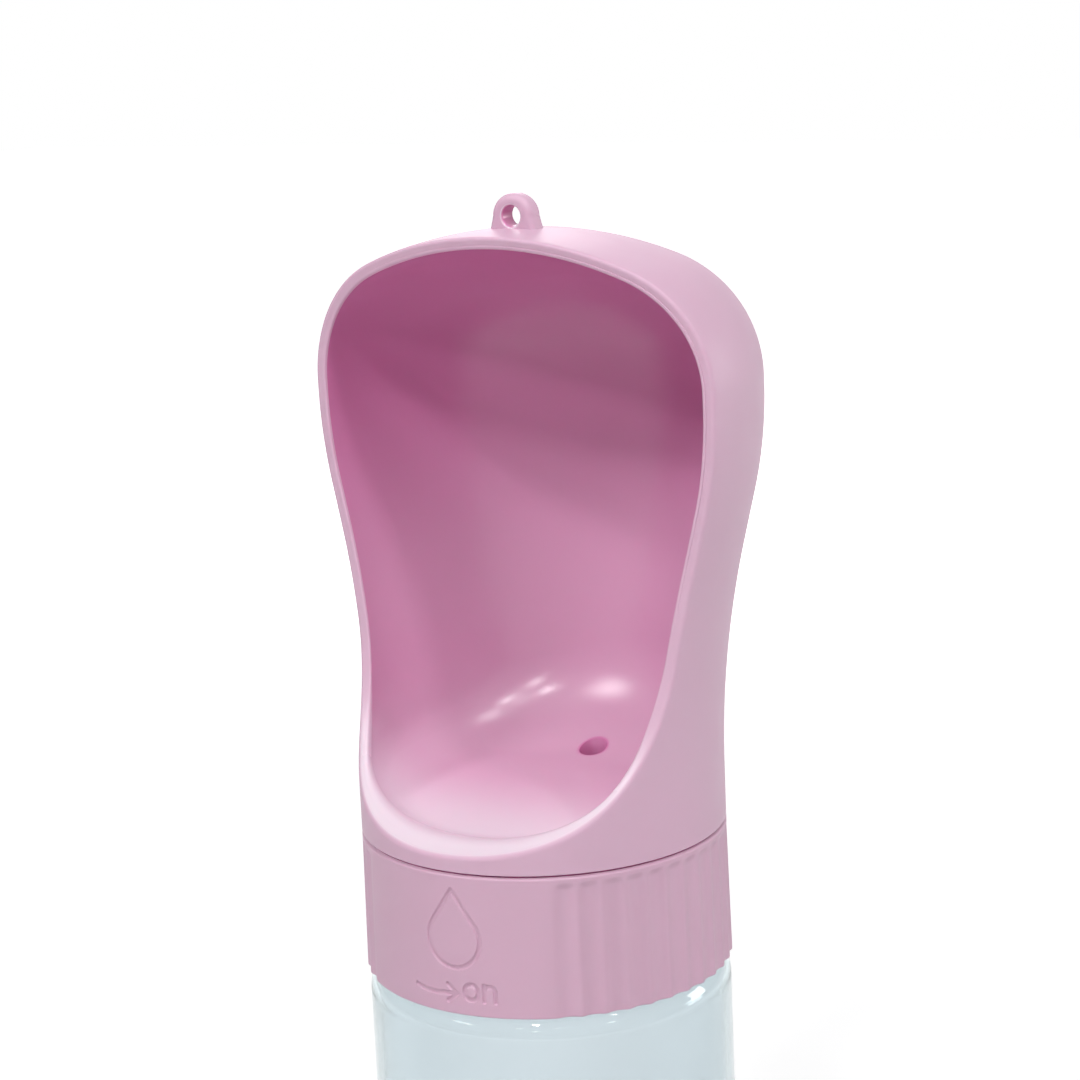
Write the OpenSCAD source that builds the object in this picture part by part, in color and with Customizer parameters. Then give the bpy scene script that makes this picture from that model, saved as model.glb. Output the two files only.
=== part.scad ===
// Travel water bottle for dogs: a clear screw-neck bottle, a ribbed grip collar and a drinking
// scoop that turns on the collar to open or shut a rotary face valve.
// The origin is on the bottle's axis at its base, +Z is up and the scoop opens towards -Y.
// The piece that takes the most skill is the scoop: a thin moulded bulb with a dished basin.

/* [Bottle] */
// Height of the bottle that shows below the collar
bottle_show_h = 118; // [80:1:180]
// Gap between the bottle's side and the line of the collar's lower edge
bottle_setback = 0.3; // [0:0.1:1]
// Wall of the bottle
bottle_wall = 1.9; // [1.2:0.1:2.6]
// Thickness of the bottle's floor
bottle_floor_t = 2.8; // [1.5:0.1:5]
// Radius of the rounded foot
foot_r = 5; // [3:0.5:8]
// Wall of the bottle's neck
neck_wall = 2.4; // [1.6:0.1:3.2]
// Height of the neck above the shoulder
neck_h = 10.3; // [8:0.1:13]
// Depth of the full-width shoulder below the top of the shoulder
shoulder_drop = 7.5; // [6.5:0.1:12]

/* [Collar] */
// Radius of the collar at its upper edge
collar_r = 34; // [30:0.5:42]
// Widening of the collar from its upper to its lower edge
collar_draft = 0.4; // [0:0.1:0.8]
// Height of the collar
collar_h = 26; // [25:0.5:40]
// Gap between the collar and the scoop
seam_gap = 0.3; // [0.2:0.05:0.6]
// Wall of the grip sleeve
sleeve_wall = 1.6; // [1.4:0.1:2.4]
// Chamfer on the collar's upper edge
collar_chamfer = 0.5; // [0.2:0.1:0.8]
// Half angle of the plain front of the collar
plain_half_angle = 38.8; // [20:0.2:60]
// Number of flutes round the rest of the collar
flute_count = 39; // [20:1:45]
// Depth of a flute
flute_depth = 0.4; // [0.2:0.05:0.6]
// Radius of the cutter that makes a flute
flute_r = 2.6; // [1.5:0.1:3.2]
// Height of the plain band above the flutes
flute_top_gap = 2; // [1:0.1:5]

/* [Threaded cap] */
// Wall of the cap beside the thread
cap_wall = 4; // [3.4:0.1:6]
// Radial room for the thread between the neck and the cap
thread_room = 1.8; // [1:0.1:2.4]
// Wall of the socket in which the scoop turns
socket_wall = 3; // [2.6:0.1:4.5]
// Depth of the valve deck below the scoop's underside
deck_depth = 9.7; // [9.2:0.1:10.5]
// Thickness of the valve deck
deck_t = 2.4; // [1.6:0.1:2.8]
// Thickness of the neck gasket
gasket_t = 1.5; // [1:0.1:1.9]
// Width of the neck gasket
gasket_w = 3.5; // [2:0.1:3.8]
// Distance of the gasket's inner edge from the neck's mouth
gasket_inset = 0.2; // [0.1:0.1:0.5]
// Gap between the cap's skirt and the bottle's shoulder
skirt_gap = 0.6; // [0.3:0.1:1.5]

/* [Valve] */
// Radius of the water port
port_r = 2.65; // [1.5:0.05:3]
// Distance of the port's centre from the inside of the spigot
port_inset = 8; // [6.4:0.1:11]
// Angle through which the scoop turns between shut and open
valve_turn = 60; // [45:1:70]
// Radius of the port's face seal
port_seal_r = 5.5; // [4.2:0.1:5.8]
// Depth of the pocket that holds the face seal
port_seal_pocket = 1.3; // [0.8:0.1:1.5]
// Thickness of the cord of the small seal round the port's tube
tube_seal_d = 1.3; // [1:0.05:1.4]
// Wall of the port's tube
tube_wall = 0.95; // [0.7:0.05:1.1]
// Wall of the boss round the tube
boss_wall = 1.1; // [0.8:0.1:1.6]
// Depth of the boss below the scoop's underside
boss_drop = 4.5; // [3.2:0.1:5]
// Height of the tube's socket above the scoop's underside
tube_socket_rise = 0.5; // [0.3:0.1:1.5]
// Depth of the small seal below the scoop's underside
tube_seal_drop = 2.2; // [1.2:0.1:2.6]
// Thickness of the cord of the seal round the spigot
spigot_seal_d = 1.8; // [1.4:0.05:2]
// Height of the spigot seal's middle above the spigot's foot
spigot_seal_rise = 2.1; // [1.6:0.1:2.4]
// Room above and below the spigot seal in its groove
seal_room = 0.2; // [0.1:0.05:0.3]

/* [Scoop base] */
// Thickness of the flange that closes the scoop
flange_t = 2; // [1.4:0.1:2.3]
// Overlap of the flange under the scoop's wall
flange_overlap = 0.9; // [0.5:0.1:1.1]
// Wall of the spigot
spigot_wall = 3.1; // [2.8:0.1:4]
// Thickness of the plate at the spigot's foot
rotor_t = 2.6; // [2.2:0.1:2.8]
// Height of the retaining ring
ring_h = 1.4; // [0.8:0.1:1.4]
// Radial width of the retaining ring
ring_w = 1.9; // [1.5:0.1:2]
// Depth of the retaining ring in the spigot
ring_bite = 0.8; // [0.5:0.1:1]
// Radial room outside the retaining ring
ring_room = 0.2; // [0.1:0.05:0.3]
// Height of the socket's lip above the retaining ring
ring_lip = 0.9; // [0.8:0.05:1]
// Angle of the split in the retaining ring
ring_split = 16; // [8:1:30]
// Width of the turn stop, as an angle
stop_angle = 10; // [6:1:16]
// Height of the turn stop
stop_h = 2; // [1:0.1:2.2]
// Wall between the retaining ring's groove and the stop's notch
stop_wall = 0.6; // [0.4:0.1:0.8]

/* [Scoop] */
// Wall of the scoop
scoop_wall = 2.3; // [1.6:0.1:2.8]
// Height of the straight foot of the scoop
scoop_foot_h = 10; // [6:0.5:14]
// Radius of the hollow flare above the foot, seen from the side
flare_r = 184; // [150:1:220]
// Lean of the wall where the flare turns into the swell
flare_angle = 13.2; // [10:0.1:15]
// Largest radius of the scoop
bulb_r = 43.2; // [42.5:0.1:46]
// Radius of the swell below the widest ring, seen from the side
swell_r = 80; // [60:1:90]
// Height of the widest ring's straight band
bulb_band_h = 2.2; // [0:0.1:6]
// Radius of the dome's shoulder, seen from the side
dome_shoulder_r = 23.8; // [18:0.1:26]
// Radius of the dome's crown, seen from the side
crown_r = 72; // [64:0.5:90]

/* [Scoop opening] */
// Distance of the opening's upright edge in front of the axis
edge_y = 6.1; // [2:0.1:10]
// Height of the middle of the upright edge
edge_z = 72.8; // [66:0.1:76]
// Radius of the long curve below the upright edge
edge_long_r = 336; // [250:1:400]
// Angle of the long curve
edge_long_angle = 6.2; // [5:0.1:7]
// Radius of the curve that runs down to the lip
edge_foot_r = 40.7; // [39:0.1:42]
// Height at which the upper curve begins
edge_top_z = 85; // [80:0.1:90]
// Radius of the upper curve that leans forward to the crown
edge_top_r = 70; // [60:0.5:90]

/* [Basin] */
// Height over which the basin's wall runs into the scoop's wall
basin_blend_h = 5; // [3:0.5:8]
// Height of the basin's floor on the axis
basin_h = 6.1; // [5.8:0.05:7]
// Rise of the basin's floor towards the back, as an angle
basin_slope = 5.8; // [4:0.1:6]
// Radius between the floor and the back wall
fillet_back = 22; // [14:0.5:24]
// Radius between the floor and the side walls
fillet_side = 9; // [5:0.5:13]
// Radius between the floor and the lip
fillet_front = 8; // [3:0.1:9]
// Height of the plane between the scoop and its hood above the basin's wall
hood_rise = 2.9; // [1:0.1:12]

/* [Lanyard eye] */
// Radius of the rounded top of the eye
eye_r = 4; // [3.4:0.1:6]
// Radius of the eye's hole
eye_hole_r = 1.9; // [1.2:0.1:2.4]
// Thickness of the eye
eye_t = 3.8; // [2:0.1:5]
// Height of the hole above the crown
eye_rise = 2.2; // [1.9:0.1:4]
// Extra width of the eye at its root, on each side
eye_taper = 0.8; // [0:0.1:2]

/* [Clearances] */
// Gap between faces that pass each other
run_gap = 0.3; // [0.2:0.05:0.4]
// Gap between a seal or a snug ring and what it slides on
fit_gap = 0.05; // [0.02:0.01:0.1]
// Gap above and below the retaining ring
ring_gap = 0.1; // [0.05:0.01:0.15]
// Gap between the valve's plate and the deck
valve_gap = 0.4; // [0.3:0.05:0.6]

/* [Hidden] */
$fn = 96;
plastic = "#dba5c0";
silicone = "#e9e4e6";
clear = "#cfdfe6";
acetal = "#f4f1ee";
eps = 0.02;
// How far a cutter runs past what it cuts
over = 1;

// Heights, from the base up
collar_z = bottle_show_h;
collar_top = collar_z + collar_h;
seam_z = collar_top + seam_gap;
deck_top = seam_z - deck_depth;
deck_foot = deck_top - deck_t;
neck_top = deck_foot - gasket_t - 2 * fit_gap;
shoulder_top = neck_top - neck_h;
cap_foot = shoulder_top + skirt_gap;
flange_foot = seam_z - flange_t;
cap_top = flange_foot - run_gap;
rotor_foot = deck_top + valve_gap;
rotor_top = rotor_foot + rotor_t;

// Radii, from the outside in
cap_r = collar_r - sleeve_wall;
socket_r = cap_r - socket_wall;
spigot_r = socket_r - run_gap;
cup_r = spigot_r - spigot_wall;
bore_r = cap_r - cap_wall;
neck_r = bore_r - thread_room;
mouth_r = neck_r - neck_wall;
bottle_r = collar_r + collar_draft - bottle_setback;
flange_r = collar_r - scoop_wall + flange_overlap;
tube_r = port_r + tube_wall;
tube_socket_r = tube_r + tube_seal_d;
boss_r = tube_socket_r + boss_wall;
port_offset = cup_r - port_inset;
ring_in_r = spigot_r - ring_bite;
ring_groove_r = ring_in_r + ring_w + ring_room;
notch_r = ring_groove_r + stop_wall;

// Heights of the two grooves in the spigot, from the flange down
ring_top = cap_top - ring_lip;
ring_foot = ring_top - ring_h;
seal_z = rotor_foot + spigot_seal_rise;

// Points of an arc about c, from angle a to angle b
function arc(c, r, a, b, n) =
    [for (i = [0 : n]) let (t = a + (b - a) * i / n) c + r * [cos(t), sin(t)]];

// Right half of the scoop's skin, as [radius, height], moved inwards by w
function skin(w) = let (
    foot = collar_r - w,
    flare_c = [collar_r + flare_r, scoop_foot_h],
    flare_end = flare_c + flare_r * [-cos(flare_angle), sin(flare_angle)],
    swell_x = bulb_r - swell_r,
    lean_len = (swell_x + swell_r * cos(flare_angle) - flare_end[0]) / sin(flare_angle),
    swell_z = flare_end[1] + lean_len * cos(flare_angle) + swell_r * sin(flare_angle),
    dome_c = [bulb_r - dome_shoulder_r, swell_z + bulb_band_h],
    crown_a = asin(dome_c[0] / (crown_r - dome_shoulder_r)),
    crown_c = [0, dome_c[1] - (crown_r - dome_shoulder_r) * cos(crown_a)]
) concat(
    [[foot, 0]],
    arc(flare_c, flare_r + w, 180, 180 - flare_angle, 10),
    arc([swell_x, swell_z], swell_r - w, -flare_angle, 0, 6),
    arc(dome_c, dome_shoulder_r - w, 0, 90 - crown_a, 14),
    arc(crown_c, crown_r - w, 90 - crown_a, 90, 8));

outer_skin = skin(0);
inner_skin = skin(scoop_wall);
crown_z = outer_skin[len(outer_skin) - 1][1];

// Radius of the scoop's inner wall at height z
function inner_r(z) = lookup(z, [for (p = inner_skin) [p[1], p[0]]]);

// Edge of the opening seen from the side, as [y, z], from the lip to above the crown
function edge_line() = let (
    long_c = [-edge_y - edge_long_r, edge_z],
    long_end = long_c + edge_long_r * [cos(edge_long_angle), -sin(edge_long_angle)],
    foot_c = long_end - edge_foot_r * [cos(edge_long_angle), -sin(edge_long_angle)],
    lip_a = acos((-collar_r - over - foot_c[0]) / edge_foot_r)
) concat(
    arc(foot_c, edge_foot_r, -lip_a, -edge_long_angle, 14),
    arc(long_c, edge_long_r, -edge_long_angle, 0, 5),
    arc([-edge_y - edge_top_r, edge_top_z], edge_top_r, 0, 45, 9));

// One radial section of the basin at angle a, from near the axis out to the wall, as [r, z]
basin_top = basin_h + fillet_back + basin_blend_h;
hood_z = basin_top + hood_rise;
function fillet_at(a) = let (s = sin(a))
    s > 0 ? fillet_side + (fillet_back - fillet_side) * s * s
          : fillet_side + (fillet_front - fillet_side) * s * s;
function basin_section(a) = let (
    f = fillet_at(a),
    m = tan(basin_slope) * sin(a),
    k = sqrt(1 + m * m),
    wall_r = inner_r(basin_h + f) - fit_gap,
    c = [wall_r - f, basin_h + m * (wall_r - f) + f * k],
    start = [c[0] + f * m / k, c[1] - f / k]
) concat(
    [for (t = [0.4, 0.75]) [start[0] * t, basin_h + m * start[0] * t]],
    arc(c, f, atan(m) - 90, 0, 8),
    [for (t = [0.4, 0.7, 1]) let (z = c[1] + (basin_top - c[1]) * t)
        [max(inner_r(z) - fit_gap, wall_r), z]]);

// Space above the basin's floor: one closed mesh of radial sections
module basin_space(columns = 56) {
    sections = [for (j = [0 : columns - 1]) basin_section(360 * j / columns)];
    rows = len(sections[0]);
    points = concat(
        [for (j = [0 : columns - 1]) for (p = sections[j])
            [p[0] * cos(360 * j / columns), p[0] * sin(360 * j / columns), p[1]]],
        [[0, 0, basin_h]]);
    floor_point = len(points) - 1;
    function at(j, i) = (j % columns) * rows + i;
    polyhedron(points, concat(
        [for (j = [0 : columns - 1]) [floor_point, at(j, 0), at(j + 1, 0)]],
        [for (j = [0 : columns - 1]) for (i = [0 : rows - 2]) each [
            [at(j, i), at(j, i + 1), at(j + 1, i + 1)],
            [at(j, i), at(j + 1, i + 1), at(j + 1, i)]]],
        [[for (j = [columns - 1 : -1 : 0]) at(j, rows - 1)]]));
}

// Everything inside the scoop's wall and above the basin
module bowl_space() {
    basin_space();
    intersection() {
        rotate_extrude() polygon(concat([[0, 0]], inner_skin));
        translate([0, 0, basin_top - over]) cylinder(h = crown_z, r = bulb_r);
    }
}

// Dry space under the basin, one wall thickness below its floor
module dry_space() {
    wall_r = inner_r(basin_h + fillet_back);
    m = tan(basin_slope);
    c = [wall_r - fillet_back, basin_h + m * (wall_r - fillet_back) + fillet_back * sqrt(1 + m * m)];
    under_r = fillet_back + scoop_wall;
    inner = collar_r - scoop_wall;
    intersection() {
        translate([0, 0, -over]) cylinder(h = 2 * basin_top, r = inner);
        rotate([90, 0, 90]) translate([0, 0, -collar_r]) linear_extrude(2 * collar_r)
            polygon(concat(
                [[-collar_r, -over], [-collar_r, basin_h - scoop_wall / cos(basin_slope) - m * collar_r]],
                arc(c, under_r, basin_slope - 90, acos((inner - c[0]) / under_r) * -1, 8),
                [[inner, -over]]));
    }
}

// Everything in front of the opening's edge
module opening_cut() {
    line = edge_line();
    last = line[len(line) - 1];
    rotate([90, 0, 90]) translate([0, 0, -bulb_r - over]) linear_extrude(2 * (bulb_r + over))
        polygon(concat([[-2 * bulb_r, line[0][1]]], line,
            [[last[0], 2 * crown_z], [-2 * bulb_r, 2 * crown_z]]));
}

// Part of a ring between two angles
module ring_sector(r_in, r_out, h, a, b) {
    rotate([0, 0, a]) rotate_extrude(angle = b - a)
        translate([r_in, 0]) square([r_out - r_in, h]);
}

// Plain ring
module ring(r_in, r_out, h) {
    rotate_extrude() translate([r_in, 0]) square([r_out - r_in, h]);
}

// Ring of round cord whose outer radius is r
module cord_ring(r, d) {
    rotate_extrude() translate([r - d / 2, 0]) circle(d = d, $fn = 32);
}

// Clear bottle with a rounded foot, a shoulder and a smooth neck
module bottle() {
    w = bottle_wall;
    side_top = shoulder_top - shoulder_drop;
    inner_r = bottle_r - w;
    color(clear, 0.4) rotate_extrude() polygon(concat(
        [[0, 0]],
        arc([bottle_r - foot_r, foot_r], foot_r, -90, 0, 8),
        [for (t = [0 : 10 : 90]) [neck_r + (bottle_r - neck_r) * cos(t), side_top + shoulder_drop * sin(t)]],
        [[neck_r, neck_top], [mouth_r, neck_top]],
        [for (t = [90 : -10 : 0])
            [mouth_r + (inner_r - mouth_r) * cos(t), side_top + (shoulder_drop - w) * sin(t)]],
        arc([inner_r - foot_r + w, foot_r - w + bottle_floor_t], foot_r - w, 0, -90, 6),
        [[0, bottle_floor_t]]));
}

// Flat gasket between the neck's rim and the valve deck
module neck_gasket() {
    color(silicone) translate([0, 0, neck_top + fit_gap])
        ring(mouth_r + gasket_inset, mouth_r + gasket_inset + gasket_w, gasket_t);
}

// Fluted grip sleeve, plain at the front
module grip_sleeve() {
    gap_angle = 2 * (180 - plain_half_angle) / (flute_count - 1);
    color(plastic) difference() {
        rotate_extrude() polygon([
            [cap_r, collar_z],
            [collar_r + collar_draft, collar_z],
            [collar_r, collar_top - collar_chamfer],
            [collar_r - collar_chamfer, collar_top],
            [flange_r + run_gap, collar_top],
            [flange_r + run_gap, cap_top],
            [cap_r, cap_top]]);
        for (i = [0 : flute_count - 1]) rotate([0, 0, -90 + plain_half_angle + i * gap_angle])
            translate([collar_r + collar_draft + flute_r - flute_depth, 0, collar_z - over])
                rotate([0, -atan(collar_draft / collar_h), 0])
                    cylinder(h = collar_h + over - flute_top_gap, r = flute_r, $fn = 48);
    }
}

// Threaded cap: the skirt round the neck, the valve deck and the socket for the scoop
module threaded_cap() {
    deck_port_a = 90 - valve_turn;
    slack_a = 1.2 * run_gap / cap_r * 180 / PI;
    color(plastic) difference() {
        rotate_extrude() polygon([
            [0, deck_foot], [bore_r, deck_foot], [bore_r, cap_foot], [cap_r, cap_foot],
            [cap_r, cap_top], [socket_r, cap_top], [socket_r, deck_top], [0, deck_top]]);
        rotate([0, 0, deck_port_a]) translate([port_offset, 0, deck_foot - over])
            cylinder(h = deck_t + 2 * over, r = port_r);
        translate([0, 0, ring_foot - ring_gap])
            ring(socket_r - over, ring_groove_r, ring_h + 2 * ring_gap);
        translate([0, 0, flange_foot - stop_h - run_gap])
            ring_sector(notch_r, cap_r + over, stop_h + over,
                -90 - valve_turn - stop_angle / 2 - slack_a, -90 + stop_angle / 2 + slack_a);
    }
}

// Split ring that holds the spigot in the socket
module retaining_ring() {
    color(acetal) translate([0, 0, ring_foot])
        ring_sector(ring_in_r, ring_in_r + ring_w, ring_h,
            -90 + ring_split / 2, 270 - ring_split / 2);
}

// Base welded under the scoop: flange, spigot, valve face, port tube and turn stop
module scoop_base() {
    color(plastic) union() {
        difference() {
            rotate_extrude() polygon([
                [0, rotor_foot], [spigot_r, rotor_foot], [spigot_r, flange_foot],
                [flange_r, flange_foot], [flange_r, seam_z], [cup_r, seam_z],
                [cup_r, rotor_top], [0, rotor_top]]);
            translate([0, 0, ring_foot - ring_gap])
                ring(ring_in_r - run_gap, spigot_r + over, ring_h + 2 * ring_gap);
            translate([0, 0, seal_z - spigot_seal_d / 2 - seal_room])
                ring(socket_r - fit_gap * 2 - spigot_seal_d, spigot_r + over, spigot_seal_d + 2 * seal_room);
            translate([0, port_offset, rotor_foot - over]) {
                cylinder(h = rotor_t + 2 * over, r = port_r);
                cylinder(h = over + port_seal_pocket, r = port_seal_r);
            }
        }
        translate([0, port_offset, rotor_top - eps])
            ring(port_r, tube_r, seam_z - run_gap - rotor_top + eps);
        translate([0, 0, flange_foot - stop_h])
            ring_sector(notch_r + run_gap, cap_r - run_gap, stop_h + eps,
                -90 - stop_angle / 2, -90 + stop_angle / 2);
    }
}

// Seal between the spigot and the socket
module spigot_seal() {
    color(silicone) translate([0, 0, seal_z]) cord_ring(socket_r - fit_gap, spigot_seal_d);
}

// Seal round the port's tube, inside the scoop's boss
module tube_seal() {
    color(silicone) translate([0, port_offset, seam_z - tube_seal_drop])
        cord_ring(tube_socket_r, tube_seal_d);
}

// Face seal round the port, which slides on the valve deck
module port_seal() {
    color(silicone) translate([0, port_offset, deck_top + fit_gap])
        ring(port_r, port_seal_r, rotor_foot + port_seal_pocket - deck_top - fit_gap);
}

// Eye for a wrist cord, on the crown
module lanyard_eye() {
    hole_z = crown_z + eye_rise;
    root_z = crown_z - scoop_wall / 2;
    lean = asin((eye_r) / norm([eye_r + eye_taper, hole_z - root_z]));
    difference() {
        rotate([90, 0, 0]) translate([0, 0, -eye_t / 2]) linear_extrude(eye_t) union() {
            translate([0, hole_z]) circle(r = eye_r);
            polygon([[-eye_r - eye_taper, root_z], [eye_r + eye_taper, root_z],
                [eye_r * cos(lean / 6), hole_z + eye_r * sin(lean / 6)],
                [-eye_r * cos(lean / 6), hole_z + eye_r * sin(lean / 6)]]);
        }
        translate([0, 0, hole_z]) rotate([90, 0, 0])
            translate([0, 0, -eye_t]) cylinder(h = 2 * eye_t, r = eye_hole_r);
    }
}

// Everything above the level at which the hood begins
module above_hood_foot() {
    translate([0, 0, hood_z]) cylinder(h = crown_z, r = bulb_r + over);
}

// Drinking scoop up to its hood: the flared shell, the lip, the basin and the port boss
module scoop() {
    color(plastic) translate([0, 0, seam_z]) difference() {
        union() {
            difference() {
                rotate_extrude() polygon(concat([[0, 0]], outer_skin));
                dry_space();
            }
            translate([0, port_offset, -boss_drop]) cylinder(h = boss_drop + basin_h, r = boss_r);
        }
        bowl_space();
        opening_cut();
        above_hood_foot();
        translate([0, port_offset, -boss_drop - over]) {
            cylinder(h = boss_drop + over + fillet_back, r = port_r);
            cylinder(h = boss_drop + over + tube_socket_rise, r = tube_socket_r);
        }
    }
}

// Hood of the scoop: the bulb above the basin with the lanyard eye, one moulding with the scoop
module scoop_hood() {
    color(plastic) translate([0, 0, seam_z]) union() {
        difference() {
            intersection() {
                rotate_extrude() polygon(concat([[0, 0]], outer_skin));
                above_hood_foot();
            }
            rotate_extrude() polygon(concat([[0, 0]], inner_skin));
            opening_cut();
        }
        lanyard_eye();
    }
}

bottle();
neck_gasket();
grip_sleeve();
threaded_cap();
retaining_ring();
scoop();
scoop_hood();
scoop_base();
spigot_seal();
tube_seal();
port_seal();
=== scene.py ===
"""Looks of a travel water bottle for dogs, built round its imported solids.

The bottle stands on its base at the origin, +Z is up and the drinking scoop opens towards -Y.
Shapes are worked out in millimetres and put into the meshes in metres.
"""

from __future__ import annotations

import logging
import math
from dataclasses import dataclass, field
from enum import Enum

import bmesh
import bpy
import numpy as np
from mathutils import Matrix, Vector

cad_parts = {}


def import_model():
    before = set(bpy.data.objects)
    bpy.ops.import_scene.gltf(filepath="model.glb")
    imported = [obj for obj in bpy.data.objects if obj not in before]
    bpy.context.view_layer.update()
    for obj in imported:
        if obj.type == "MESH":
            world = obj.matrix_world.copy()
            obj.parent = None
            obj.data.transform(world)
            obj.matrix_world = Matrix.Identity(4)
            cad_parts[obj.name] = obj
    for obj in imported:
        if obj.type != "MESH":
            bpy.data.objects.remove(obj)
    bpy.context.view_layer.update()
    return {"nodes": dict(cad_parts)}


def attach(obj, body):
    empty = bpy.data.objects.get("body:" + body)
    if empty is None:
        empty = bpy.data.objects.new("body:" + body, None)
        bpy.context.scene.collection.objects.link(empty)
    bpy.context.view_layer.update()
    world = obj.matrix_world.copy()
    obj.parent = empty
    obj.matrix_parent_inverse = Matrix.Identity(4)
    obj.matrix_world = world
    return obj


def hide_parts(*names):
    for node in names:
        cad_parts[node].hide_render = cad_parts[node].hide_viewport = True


LOG = logging.getLogger("bottle")
MM = 0.001
SEAM_Z = 144.3
# Levels that the plastics read from the mesh: the first three are painted shade, a middle tone and painted light on
# the polished inside, the last is the satin outside in its own colour. The mesh attribute that holds them also picks
# polish or satin for the roughness.
SHADE_AND_FINISH = "shade_and_finish"
IN_SHADE, CLEAR, IN_LIGHT, SATIN = 0.0, 1.0, 2.0, 3.0


class Body(str, Enum):
    """Moving bodies that pieces ride on."""

    BOTTLE = "bottle"
    COLLAR = "collar"
    HEAD = "head"


class Slot(str, Enum):
    """Material slots of the record."""

    CLEAR = "clear_plastic"
    SILICONE = "white_silicone"
    COLLAR = "collar_plastic"
    CAP = "cap_plastic"
    ACETAL = "white_acetal"
    SCOOP = "scoop_plastic"
    BASE = "base_plastic"


def ease(t: np.ndarray) -> np.ndarray:
    """Smooth step from 0 to 1: 3 t squared less 2 t cubed, held at its ends."""
    t = np.clip(t, 0.0, 1.0)
    return t * t * (3.0 - 2.0 * t)


def arc(centre: tuple[float, float], radius: float, start: float, end: float, count: int = 80) -> np.ndarray:
    """Points of a circle's arc: centre plus radius times (cos, sin) of evenly spaced angles.

    Args:
        centre: Centre of the circle.
        radius: Radius of the circle.
        start: First angle in degrees.
        end: Last angle in degrees.
        count: Number of points.

    Returns:
        An array of shape (count, 2).
    """
    t = np.radians(np.linspace(start, end, count))
    return np.stack([centre[0] + radius * np.cos(t), centre[1] + radius * np.sin(t)], -1)


def length_along(points: np.ndarray) -> np.ndarray:
    """Distance of each point from the first one, measured along the polyline."""
    steps = np.linalg.norm(np.diff(points, axis=0), axis=1)
    return np.concatenate([[0.0], np.cumsum(steps)])


def turned(angle: np.ndarray, radius: np.ndarray, height: np.ndarray) -> np.ndarray:
    """Points at (radius cos angle, radius sin angle, height), angle in degrees."""
    angle, radius, height = np.broadcast_arrays(np.radians(angle), radius, height)
    return np.stack([radius * np.cos(angle), radius * np.sin(angle), height], -1)


@dataclass
class Sheet:
    """A mesh put together from grids of points, in millimetres above the base.

    Neighbouring grids share the places of their border points, and these are merged at the end.
    Each point also has a level of painted shade and finish, which the plastics read: the first three
    levels are painted shade, a middle tone and painted light on the polished inside, and SATIN is the outside.
    """

    name: str
    points: list[np.ndarray] = field(default_factory=list)
    faces: list[np.ndarray] = field(default_factory=list)
    shades_and_finishes: list[np.ndarray] = field(default_factory=list)
    count: int = 0

    def add(self, grid: np.ndarray, shade_and_finish: np.ndarray | float = SATIN) -> None:
        """Adds a grid of shape (rows, columns, 3), one four-sided face for each cell.

        Args:
            grid: Points in millimetres.
            shade_and_finish: One level of painted shade and finish for the grid, or one for each of its points.
        """
        self.shades_and_finishes.append(np.broadcast_to(shade_and_finish, grid.shape[:2]).reshape(-1))
        rows, columns = grid.shape[:2]
        first = np.arange(rows - 1)[:, None] * columns + np.arange(columns - 1)[None, :] + self.count
        self.faces.append(np.stack([first, first + 1, first + columns + 1, first + columns], -1).reshape(-1, 4))
        self.points.append(grid.reshape(-1, 3))
        self.count += rows * columns

    def build(self, sharp: float = 40.0) -> bpy.types.Object:
        """Makes the object: doubles merged, faces pointing outwards, smooth but for sharp edges.

        Args:
            sharp: Angle in degrees past which an edge stays sharp.

        Returns:
            The new object, at the origin, linked to the scene.
        """
        mesh = bpy.data.meshes.new(self.name)
        mesh.from_pydata((np.concatenate(self.points) * MM).tolist(), [], np.concatenate(self.faces).tolist())
        layer = mesh.attributes.new(SHADE_AND_FINISH, "FLOAT", "POINT")
        layer.data.foreach_set("value", np.concatenate(self.shades_and_finishes).astype(np.float32))
        work = bmesh.new()
        work.from_mesh(mesh)
        bmesh.ops.remove_doubles(work, verts=work.verts, dist=2e-7)
        bmesh.ops.dissolve_degenerate(work, edges=work.edges, dist=1e-8)
        bmesh.ops.recalc_face_normals(work, faces=work.faces)
        work.to_mesh(mesh)
        work.free()
        mesh.polygons.foreach_set("use_smooth", np.ones(len(mesh.polygons), bool))
        mesh.set_sharp_from_angle(angle=math.radians(sharp))
        mesh.update()
        piece = bpy.data.objects.new(self.name, mesh)
        bpy.context.scene.collection.objects.link(piece)
        return piece


def finish_piece(
    piece: bpy.types.Object, body: Body, slot: Slot, material: bpy.types.Material, *nodes: str
) -> bpy.types.Object:
    """Gives a new piece its body, its material and the solids that it stands for, and logs it."""
    piece.data.materials.clear()
    piece.data.materials.append(material)
    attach(piece, body.value)
    if nodes:
        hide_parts(*nodes)
    LOG.info("%s: %d faces, rides on %s", piece.name, len(piece.data.polygons), body.value)
    return piece


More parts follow.
